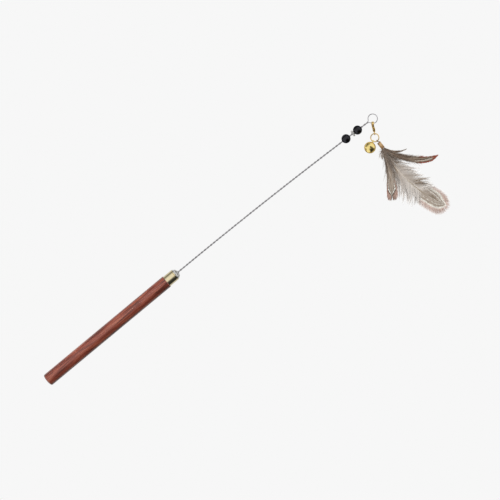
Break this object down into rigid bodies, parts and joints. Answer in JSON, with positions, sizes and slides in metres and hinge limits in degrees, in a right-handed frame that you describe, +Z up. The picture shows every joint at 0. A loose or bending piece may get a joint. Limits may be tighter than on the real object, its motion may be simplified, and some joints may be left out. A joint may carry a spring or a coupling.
{
  "type": "cat teaser wand",
  "caption": "Cat teaser wand: a rosewood handle with a brass ferrule, a twisted wire stem with beads, and a clasped lure of feathers with a jingle bell.",
  "frame": {"origin": "on the handle's axis, midway along the wooden grip", "axes": "+X the way the wand points, level; +Z up; the wand leans up in the XZ plane and the lure hangs along -Z"},
  "size_m": [0.3755, 0.0135, 0.2504],
  "materials": {
    "rosewood": "oiled satin",
    "pale_brass": "polished",
    "silver": "polished relief",
    "glue": "cast",
    "steel_wire": "twisted bright",
    "black_bead": "polished",
    "gold": "plated bright",
    "spring_steel": "plain",
    "bell_gold": "plated bright",
    "pellet_steel": "plain",
    "crimp_brass": "plated",
    "downy_feather": "downy",
    "marked_feather": "soft",
    "dark_feather": "soft"
  },
  "bodies": {
    "wand": {"handle": "rosewood", "ferrule": "pale_brass", "ferrule_cap": "silver", "glue_bed": "glue", "wire": "steel_wire"},
    "lower_bead": {"lower_bead": "black_bead"},
    "spacer": {"spacer": "silver"},
    "upper_bead": {"upper_bead": "black_bead"},
    "clasp": {"clasp_body": "gold", "clasp_rivet": "gold", "clasp_spring": "spring_steel"},
    "trigger": {"clasp_trigger": "gold"},
    "ring": {"jump_ring": "gold"},
    "bell": {"bell_crown": "bell_gold", "bell_cup": "bell_gold", "bell_strap": "bell_gold"},
    "pellet": {"bell_pellet": "pellet_steel"},
    "lure": {"feather_crimp": "crimp_brass", "feather_large": "downy_feather", "feather_left": "marked_feather", "feather_right": "dark_feather", "feather_wisp": "dark_feather"}
  },
  "joints": [
    {"name": "lower_bead_spin", "type": "hinge", "parent": "wand", "child": "lower_bead", "pos_m": [0.2203, 0, 0.17727], "axis": [0.7966, 0, 0.6045], "continuous": true},
    {"name": "spacer_spin", "type": "hinge", "parent": "wand", "child": "spacer", "pos_m": [0.22672, 0, 0.18213], "axis": [0.7977, 0, 0.6031], "continuous": true},
    {"name": "upper_bead_spin", "type": "hinge", "parent": "wand", "child": "upper_bead", "pos_m": [0.23091, 0, 0.1853], "axis": [0.7984, 0, 0.6022], "continuous": true},
    {"name": "clasp_swing", "type": "hinge", "parent": "wand", "child": "clasp", "pos_m": [0.24494, 0, 0.19149], "axis": [1, 0, 0], "range_deg": [-80, 80]},
    {"name": "trigger_press", "type": "hinge", "parent": "clasp", "child": "trigger", "pos_m": [0.24596, -0.00084, 0.18599], "axis": [-0.9833, 0, -0.1822], "range_deg": [0, 25], "stiffness_Nm_per_rad": 0.002, "springref_deg": -8.59, "deforming": ["clasp_spring"]},
    {"name": "ring_swing", "type": "hinge", "parent": "clasp", "child": "ring", "pos_m": [0.24689, 0, 0.18097], "axis": [0, 1, 0], "range_deg": [-45, 35]},
    {"name": "bell_swing", "type": "hinge", "parent": "ring", "child": "bell", "pos_m": [0.24523, 0, 0.17488], "axis": [0.8988, 0, -0.4384], "range_deg": [-50, 50]},
    {"name": "pellet_roll", "type": "hinge", "parent": "bell", "child": "pellet", "pos_m": [0.24244, 0, 0.16915], "axis": [0, 1, 0], "range_deg": [-60, 60]},
    {"name": "feather_swing", "type": "hinge", "parent": "ring", "child": "lure", "pos_m": [0.24924, 0, 0.17532], "axis": [0.7815, 0, 0.6239], "range_deg": [-50, 50]}
  ]
}
